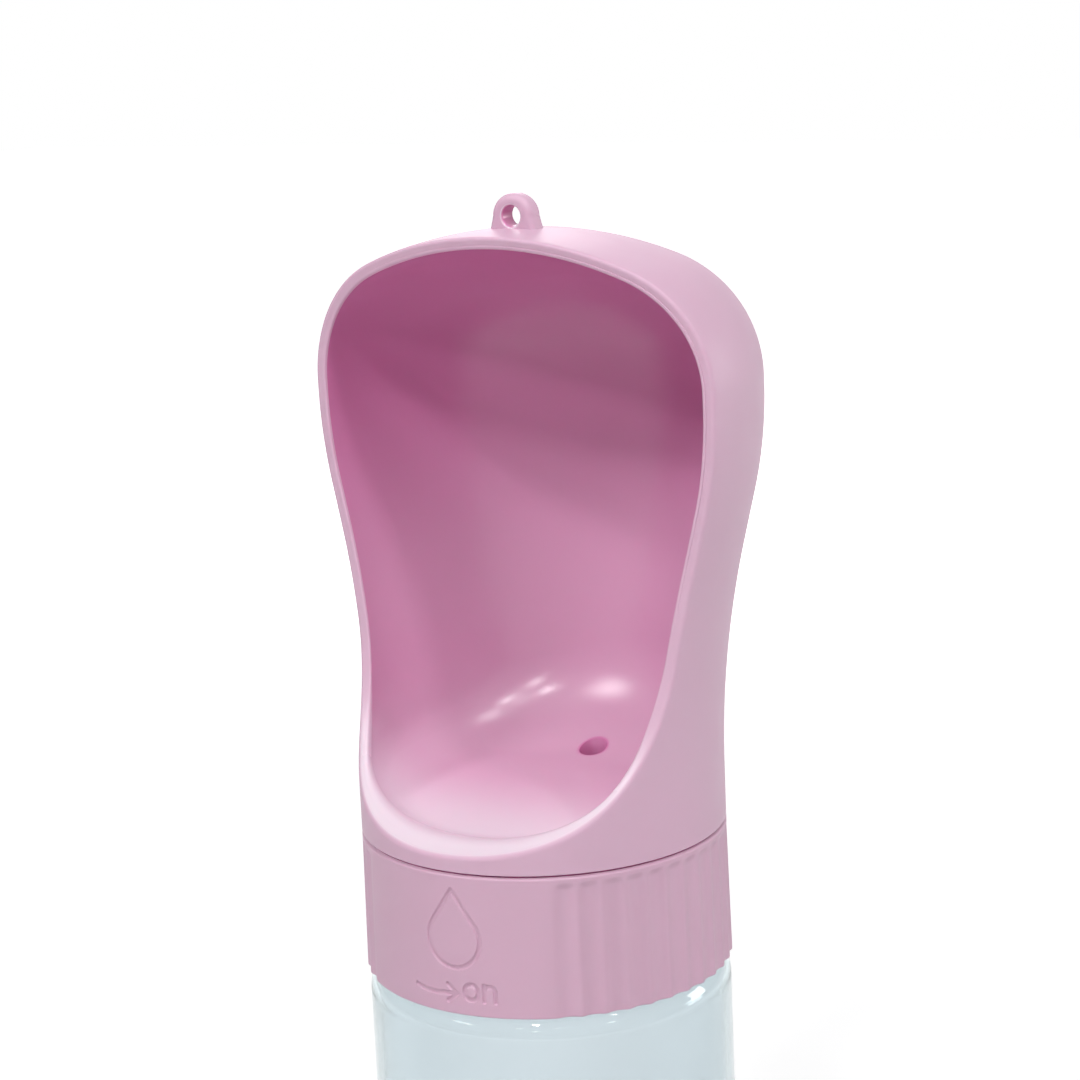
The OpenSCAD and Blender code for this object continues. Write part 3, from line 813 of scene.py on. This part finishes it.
@dataclass
class GripSleeve:
    """The fluted grip ring of the collar, with its sunk marks on the plain front."""

    top_z: float = -0.3
    foot_z: float = -26.3
    top_r: float = 34.0
    foot_r: float = 34.4
    inner_r: float = 32.4
    rebate_r: float = 32.9
    rebate_z: float = -2.3
    chamfer: float = 0.5
    plain_half: float = 38.8
    flutes: int = 39
    flute_depth: float = 0.55
    flute_r: float = 3.6
    mark_depth: float = 0.32
    stroke: float = 0.72

    def columns(self) -> np.ndarray:
        """Angles from the front in degrees: fine at the marks, 10 to a flute, wider on the plain band."""
        marks = np.linspace(-12.5, 19.5, 170)
        left = np.linspace(-self.plain_half + 3.0, -12.5, 18)[:-1]
        right = np.linspace(19.5, self.plain_half - 3.0, 14)[1:]
        fluted = np.linspace(self.plain_half - 3.0, 360 - self.plain_half + 3.0, 400)[1:]
        return np.concatenate([left, marks, right, fluted])

    def flute(self, angle: np.ndarray, z: np.ndarray) -> np.ndarray:
        """Depth of the flutes: a round cutter's arc, eased at its edges and fading below the seam."""
        pitch = 2 * (180 - self.plain_half) / (self.flutes - 1)
        turn = np.where(angle < 0, angle + 360, angle) - self.plain_half
        index = np.clip(np.round(turn / pitch), 0, self.flutes - 1)
        across = np.radians(turn - index * pitch) * self.top_r
        deep = np.sqrt(np.maximum(self.flute_r ** 2 - across ** 2, 0)) - (self.flute_r - self.flute_depth)
        eased = 0.5 * (deep + np.sqrt(deep * deep + 0.0016)) - 0.02
        fade = ease((self.top_z - 0.9 - z) / 1.6)
        return np.maximum(eased, 0) * fade

    @staticmethod
    def to_segment(p: np.ndarray, a: tuple[float, float], b: tuple[float, float]) -> np.ndarray:
        """Distance of points to the segment from a to b."""
        start, way = np.array(a), np.array(b) - np.array(a)
        t = np.clip(((p - start) @ way) / (way @ way), 0, 1)
        return np.linalg.norm(p - start - t[..., None] * way, axis=-1)

    @staticmethod
    def to_drop(p: np.ndarray, centre: tuple[float, float], radius: float, tip: float) -> np.ndarray:
        """Distance to the outline of a water drop: a circle and two lines that touch it from the tip."""
        q = np.abs(p[..., 0] - centre[0])
        h = p[..., 1] - centre[1]
        lift = math.asin(radius / tip)
        foot = np.array([radius * math.cos(lift), radius * math.sin(lift)])
        way = np.array([0.0, tip]) - foot
        t = np.clip(((q - foot[0]) * way[0] + (h - foot[1]) * way[1]) / (way @ way), 0, 1)
        side = np.hypot(q - foot[0] - t * way[0], h - foot[1] - t * way[1])
        round_part = np.abs(np.hypot(q, h) - radius)
        below = h * math.cos(lift) < q * math.sin(lift) + 1e-9
        return np.where(below, round_part, side)

    def mark(self, angle: np.ndarray, z: np.ndarray) -> np.ndarray:
        """Depth of the marks, from the distance to their strokes: a drop, an arrow and "on"."""
        p = np.stack([np.radians(angle) * self.top_r, z], -1)
        away = self.to_drop(p, (2.3, -12.4), 5.2, 9.2)
        tail = [(-6.2, -22.2), (-5.0, -22.55), (-3.4, -22.75), (-1.5, -22.7), (2.7, -22.45)]
        for a, b in zip(tail, tail[1:]):
            away = np.minimum(away, self.to_segment(p, a, b))
        for arm in ((0.9, -20.9), (0.8, -24.0)):
            away = np.minimum(away, self.to_segment(p, arm, (2.7, -22.45)))
        ring = np.hypot((p[..., 0] - 5.5) / 1.3, (p[..., 1] + 21.9) / 1.45)
        away = np.minimum(away, np.abs(ring - 1) * 1.37)
        stems = (((8.0, -20.4), (8.0, -23.4)), ((10.1, -21.6), (10.1, -23.4)))
        for a, b in stems:
            away = np.minimum(away, self.to_segment(p, a, b))
        arch = np.abs(np.hypot(p[..., 0] - 9.05, p[..., 1] + 21.6) - 1.05)
        away = np.minimum(away, np.where(p[..., 1] > -21.6, arch, 9.0))
        return self.mark_depth * ease(0.5 + (self.stroke / 2 - away) / 0.16)

    def build(self, material: bpy.types.Material) -> None:
        """Makes the sleeve as one ring: a section carried round the axis, its outside pressed in."""
        angle = self.columns()
        z = np.linspace(self.foot_z + 0.3, self.top_z - self.chamfer, 128)
        grid_a, grid_z = np.meshgrid(angle, z)
        r = self.foot_r + (self.top_r - self.foot_r) * (grid_z - self.foot_z) / (self.top_z - self.foot_z)
        sunk = self.flute(grid_a, grid_z)
        r = r - sunk - self.mark(grid_a, grid_z)
        outside = turned(grid_a - 90, r, grid_z)
        rows = []
        for share in (1.0, 0.6, 0.25):
            rows.append(turned(angle - 90, r[0] - 0.3 * share ** 2, self.foot_z + 0.3 * (1 - share) ** 2))
        rows += list(outside)
        top = [(self.top_r - 0.04, self.top_z - self.chamfer + 0.12), (self.top_r - self.chamfer + 0.06, self.top_z - 0.1),
               (self.top_r - self.chamfer - 0.08, self.top_z), (self.rebate_r, self.top_z), (self.rebate_r, self.rebate_z),
               (self.inner_r, self.rebate_z), (self.inner_r, self.foot_z)]
        rows += [turned(angle - 90, a, b) for a, b in top]
        rows.append(rows[0])
        made = Sheet("grip_sleeve_ribbed")
        # The top face, the rebate, the bore and the foot's inner edge are painted in shade, where the seam's gap is;
        # the outside keeps its satin colour.
        made.add(np.array(rows) + [0, 0, SEAM_Z], np.where(np.arange(len(rows)) < len(rows) - 6, SATIN, IN_SHADE)[:, None])
        finish_piece(made.build(35), Body.COLLAR, Slot.COLLAR, material, "grip_sleeve")


@dataclass
class Thread:
    """The screw thread: a right-handed helical ridge."""

    pitch: float = 4.0
    turns: float = 1.6
    first_z: float = 122.4
    base_half: float = 0.85
    tip_half: float = 0.4

    def height(self, angle: np.ndarray, z: np.ndarray) -> np.ndarray:
        """Share of the ridge's full height at an angle in degrees and a height: a sloped-side ridge."""
        best = np.zeros(np.broadcast(angle, z).shape)
        for lap in range(3):
            turn = angle / 360.0 + lap
            along = ease(np.minimum(turn, self.turns - turn) / 0.06)
            off = np.abs(z - self.first_z - turn * self.pitch)
            side = np.clip((self.base_half - off) / (self.base_half - self.tip_half), 0, 1)
            best = np.maximum(best, along * ease(side))
        return best


@dataclass
class ClearBottle:
    """The clear bottle: rounded foot, shoulder, and a neck with its thread."""

    radius: float = 34.1
    wall: float = 1.9
    floor_t: float = 2.8
    foot_r: float = 5.0
    shoulder_z: float = 120.3
    shoulder_drop: float = 7.5
    neck_r: float = 26.6
    mouth_r: float = 24.2
    neck_top: float = 130.6
    ridge: float = 1.35
    thread: Thread = field(default_factory=Thread)

    def section(self) -> np.ndarray:
        """Section from the middle of the base round the outside, over the rim and down the inside."""
        side_top = self.shoulder_z - self.shoulder_drop
        inner = self.radius - self.wall
        t = np.radians(np.linspace(0, 90, 22))
        outer_shoulder = np.stack([self.neck_r + (self.radius - self.neck_r) * np.cos(t), side_top + self.shoulder_drop * np.sin(t)], -1)
        inner_shoulder = np.stack([self.mouth_r + (inner - self.mouth_r) * np.cos(t[::-1]),
                                   side_top + (self.shoulder_drop - self.wall) * np.sin(t[::-1])], -1)
        neck_z = np.linspace(self.shoulder_z + 0.4, self.neck_top - 0.4, 60)
        push = 0.9 * ease(1 - np.linspace(0, 1, 12))
        base = np.stack([np.linspace(0, self.radius - self.foot_r, 12), push], -1)
        base_in = np.stack([np.linspace(0, inner - self.foot_r + self.wall, 12), push + self.floor_t], -1)
        return np.concatenate([
            base,
            arc((self.radius - self.foot_r, self.foot_r), self.foot_r, -90, 0, 16)[1:],
            np.stack([np.full(20, self.radius), np.linspace(self.foot_r, side_top, 20)], -1)[1:-1],
            outer_shoulder,
            np.stack([np.full(60, self.neck_r), neck_z], -1),
            arc((self.neck_r - 0.4, self.neck_top - 0.4), 0.4, 0, 90, 5)[1:],
            arc((self.mouth_r + 0.4, self.neck_top - 0.4), 0.4, 90, 180, 5),
            inner_shoulder,
            arc((inner - self.foot_r + self.wall, self.foot_r - self.wall + self.floor_t), self.foot_r - self.wall, 0, -90, 14),
            base_in[::-1],
        ])

    def build(self, material: bpy.types.Material) -> None:
        """Makes the bottle: the section turned about the axis, with the thread raised on the neck."""
        section = self.section()
        angle = np.linspace(0, 360, 161)
        r = np.repeat(section[:, :1], len(angle), 1)
        z = np.repeat(section[:, 1:], len(angle), 1)
        on_neck = (np.abs(r - self.neck_r) < 1e-6) & (z > self.shoulder_z + 0.3)
        r = r + np.where(on_neck, self.ridge * self.thread.height(angle[None], z), 0.0)
        made = Sheet("bottle_clear")
        made.add(turned(angle[None], r, z))
        finish_piece(made.build(30), Body.BOTTLE, Slot.CLEAR, material, "bottle")


@dataclass
class CapThread:
    """The thread inside the cap: a ridge on its bore, half a pitch below the bottle's.

    It is a half turn low in the bore, so that it stays below the gasket when the cap is unscrewed.
    """

    bore_r: float = 28.42
    ridge: float = 1.3
    first_turn: float = 0.33
    last_turn: float = 0.8
    thread: Thread = field(default_factory=Thread)

    def build(self, material: bpy.types.Material) -> None:
        """Makes the ridge: a sloped-side section carried along the helix, closed at both ends."""
        t = self.thread
        turn = np.linspace(self.first_turn, self.last_turn, 100)
        end = ease(np.minimum(turn - self.first_turn, self.last_turn - turn) / 0.06) * 0.98 + 0.02
        z0 = t.first_z + (turn - 0.5) * t.pitch
        section = [(0.15, -t.base_half), (-self.ridge, -t.tip_half), (-self.ridge, t.tip_half), (0.15, t.base_half)]
        rows = [turned(turn * 360, self.bore_r + np.where(a < 0, a * end, a), z0 + b * end) for a, b in section]
        rows.append(rows[0])
        grid = np.array(rows)
        middle = grid[:4].mean(0)
        made = Sheet("cap_thread")
        made.add(grid)
        for side in (0, -1):
            made.add(np.array([grid[:, side], np.repeat(middle[side][None], 5, 0)]))
        finish_piece(made.build(30), Body.COLLAR, Slot.CAP, material)


@dataclass(frozen=True)
class Lamp:
    """A square soft box, or a small spot of the same form, on a sphere round the scoop's middle.

    The compass angle is 0 in front of the scoop's opening and grows to the right, the rise is
    above the level, both in degrees.
    """

    name: str
    compass: float
    rise: float
    power: float
    side: float = 360.0
    distance: float = 1500.0
    middle_z: float = SEAM_Z + 50.0

    def build(self) -> None:
        """Makes the lamp, facing the middle of the scoop."""
        data = bpy.data.lights.new(self.name, "AREA")
        data.size = self.side * MM
        data.energy = self.power
        lamp = bpy.data.objects.new(self.name, data)
        turn, lift = math.radians(self.compass), math.radians(self.rise)
        way = Vector((math.sin(turn) * math.cos(lift), -math.cos(turn) * math.cos(lift), math.sin(lift)))
        lamp.location = (way * self.distance + Vector((0, 0, self.middle_z))) * MM
        lamp.rotation_euler = (-way).to_track_quat("-Z", "Y").to_euler()
        bpy.context.scene.collection.objects.link(lamp)


@dataclass(frozen=True)
class Camera:
    """The photograph's camera: fitted to the collar's two circles, the object turned 34 degrees."""

    focal_px: float = 2600.0
    image_px: float = 1080.0
    distance: float = 488.90
    height_angle: float = 0.312836
    yaw: float = -0.00336328
    pitch: float = 0.105825
    roll: float = 0.0465002
    turn: float = 34.0

    def build(self) -> None:
        """Makes the camera: it starts aimed at the seam's centre, then is turned in yaw, pitch and roll."""
        place = Vector((0, -math.cos(self.height_angle), math.sin(self.height_angle))) * self.distance
        ahead = -place.normalized()
        right = Vector((1, 0, 0))
        up = right.cross(ahead)
        turn = Matrix.Rotation(self.yaw, 3, up)
        ahead, right = turn @ ahead, turn @ right
        turn = Matrix.Rotation(self.pitch, 3, right)
        ahead, up = turn @ ahead, turn @ up
        turn = Matrix.Rotation(self.roll, 3, ahead)
        right, up = turn @ right, turn @ up
        stand = Matrix.Rotation(math.radians(self.turn), 3, "Z")
        data = bpy.data.cameras.new("camera")
        data.sensor_fit = "HORIZONTAL"
        data.sensor_width = 36.0
        data.lens = self.focal_px / self.image_px * data.sensor_width
        data.clip_start, data.clip_end = 0.01, 20.0
        camera = bpy.data.objects.new("camera", data)
        axes = Matrix((stand @ right, stand @ up, stand @ -ahead)).transposed()
        camera.matrix_world = Matrix.Translation(((stand @ place) + Vector((0, 0, SEAM_Z))) * MM) @ axes.to_4x4()
        bpy.context.scene.collection.objects.link(camera)
        bpy.context.scene.camera = camera


@dataclass
class Studio:
    """Pale floor, white surroundings and soft boxes."""

    floor_half: float = 4.0
    sky: float = 0.05
    lamps: tuple[Lamp, ...] = (
        Lamp("left", -35, 41, 6.3),
        Lamp("high_right", 56, 62, 4.8),
        Lamp("behind_right", 136, 8, 3.9),
        Lamp("top", 52, 82, 3.5),
        Lamp("spot_front", 7, 45, 2.7, 100),
        Lamp("spot_low", 22, 33, 2.5, 100),
        Lamp("spot_middle", 38, 45, 3.1, 100),
        Lamp("spot_high", 24, 52, 1.1, 100),
        Lamp("spot_right", 78, 40, 3.1, 100),
        Lamp("behind_left", 215, 25, 3.0),
    )

    @staticmethod
    def seen(tree: bpy.types.NodeTree) -> bpy.types.NodeSocket:
        """1 for rays from the camera, from gloss or through clear plastic, else 0."""
        path = tree.nodes.new("ShaderNodeLightPath")
        total = path.outputs["Is Camera Ray"]
        for name in ("Is Glossy Ray", "Is Transmission Ray"):
            node = tree.nodes.new("ShaderNodeMath")
            node.operation = "MAXIMUM"
            tree.links.new(total, node.inputs[0])
            tree.links.new(path.outputs[name], node.inputs[1])
            total = node.outputs[0]
        return total

    def world(self) -> None:
        """White surroundings at strength 1 where they are seen, dimmer as light."""
        world = bpy.data.worlds.new("studio")
        bpy.context.scene.world = world
        world.use_nodes = True
        tree = world.node_tree
        back = tree.nodes["Background"]
        back.inputs["Color"].default_value = (1, 1, 1, 1)
        node = tree.nodes.new("ShaderNodeMapRange")
        node.inputs["To Min"].default_value = self.sky
        tree.links.new(self.seen(tree), node.inputs["Value"])
        tree.links.new(node.outputs["Result"], back.inputs["Strength"])

    def floor(self) -> None:
        """Pale floor with a faint even tooth.

        Where it is seen it also shines: little near the object, so that the shadow stays, and up to
        plain white further away, where it runs into the surroundings.
        """
        nodes = Nodes("floor_pale")
        nodes.set(Roughness=0.9, Specular_IOR_Level=0.1)
        nodes.tint(nodes.noise(3.0), (0.86, 0.86, 0.865), (0.88, 0.88, 0.88))
        away = nodes.tree.nodes.new("ShaderNodeVectorMath")
        away.operation = "LENGTH"
        nodes.tree.links.new(nodes.coords, away.inputs[0])
        glow = nodes.tree.nodes.new("ShaderNodeMapRange")
        glow.interpolation_type = "SMOOTHSTEP"
        for name, value in (("From Min", 0.3), ("From Max", 1.1), ("To Min", 0.35), ("To Max", 1.0)):
            glow.inputs[name].default_value = value
        nodes.tree.links.new(away.outputs["Value"], glow.inputs["Value"])
        node = nodes.tree.nodes.new("ShaderNodeMath")
        node.operation = "MULTIPLY"
        nodes.tree.links.new(self.seen(nodes.tree), node.inputs[0])
        nodes.tree.links.new(glow.outputs["Result"], node.inputs[1])
        nodes.set(Emission_Color=(1, 1, 1, 1))
        nodes.tree.links.new(node.outputs[0], nodes.shader.inputs["Emission Strength"])
        h = self.floor_half / MM
        made = Sheet("floor")
        made.add(np.array([[[-h, -h, 0], [h, -h, 0]], [[-h, h, 0], [h, h, 0]]], float))
        floor = made.build()
        if floor.data.polygons[0].normal.z < 0:
            floor.data.flip_normals()
        floor.data.materials.append(nodes.material)

    def build(self) -> None:
        """Makes the surroundings, the floor and the lamps."""
        self.world()
        self.floor()
        for lamp in self.lamps:
            lamp.build()


def dress_solids(nodes: dict[str, bpy.types.Object], finishes: dict[str, bpy.types.Material]) -> None:
    """Puts each material in its solid's slots.

    Args:
        nodes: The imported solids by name.
        finishes: The material for each solid's name.
    """
    for name, material in finishes.items():
        mesh = nodes[name].data
        if not mesh.materials:
            mesh.materials.append(material)
        for i in range(len(mesh.materials)):
            mesh.materials[i] = material
        LOG.info("%s: dressed with %s", name, material.name)


def main() -> None:
    """Builds the camera, the studio and every sub-assembly."""
    logging.basicConfig(level=logging.INFO, format="%(message)s")
    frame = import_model()
    bpy.context.scene.view_settings.view_transform = "Standard"
    Camera().build()
    Studio().build()

    # The inside's tones are painted light and shade: the deep pink is painted shade for the dome, the holes and the
    # gaps, the middle tone is for the basin, and the near-white is painted light at the lip.
    pink, shaded_pink = (0.655, 0.42, 0.55), (0.66, 0.24, 0.455)
    lit_and_shaded_tones = (shaded_pink, (0.70, 0.425, 0.575), (0.80, 0.67, 0.76))
    scoop_plastic = MouldedPlastic("plastic_scoop", pink, lit_and_shaded_tones, roughness=0.5, scatter=0.15).build()
    collar_plastic = MouldedPlastic("plastic_collar", (0.63, 0.395, 0.52), lit_and_shaded_tones, roughness=0.5, grain_mm=0.02,
                                    scatter=0.15).build()
    # The cap and the scoop base take the painted shade's deep pink, which darkens the seam's gap.
    inner_plastic = MouldedPlastic("plastic_inner", shaded_pink, roughness=0.46).build()
    acetal = MouldedPlastic("acetal_white", (0.82, 0.81, 0.79), roughness=0.3).build()
    silicone = Silicone().build()
    clear = ClearPlastic().build()

    dress_solids(frame["nodes"], {
        "bottle": clear, "neck_gasket": silicone, "grip_sleeve": collar_plastic, "threaded_cap": inner_plastic,
        "retaining_ring": acetal, "scoop": scoop_plastic, "scoop_hood": scoop_plastic,
        "scoop_base": inner_plastic, "spigot_seal": silicone, "tube_seal": silicone, "port_seal": silicone,
    })
    Scoop().build(scoop_plastic)
    LanyardEye().build(scoop_plastic)
    GripSleeve().build(collar_plastic)
    ClearBottle().build(clear)
    CapThread().build(inner_plastic)


if __name__ == "__main__":
    main()
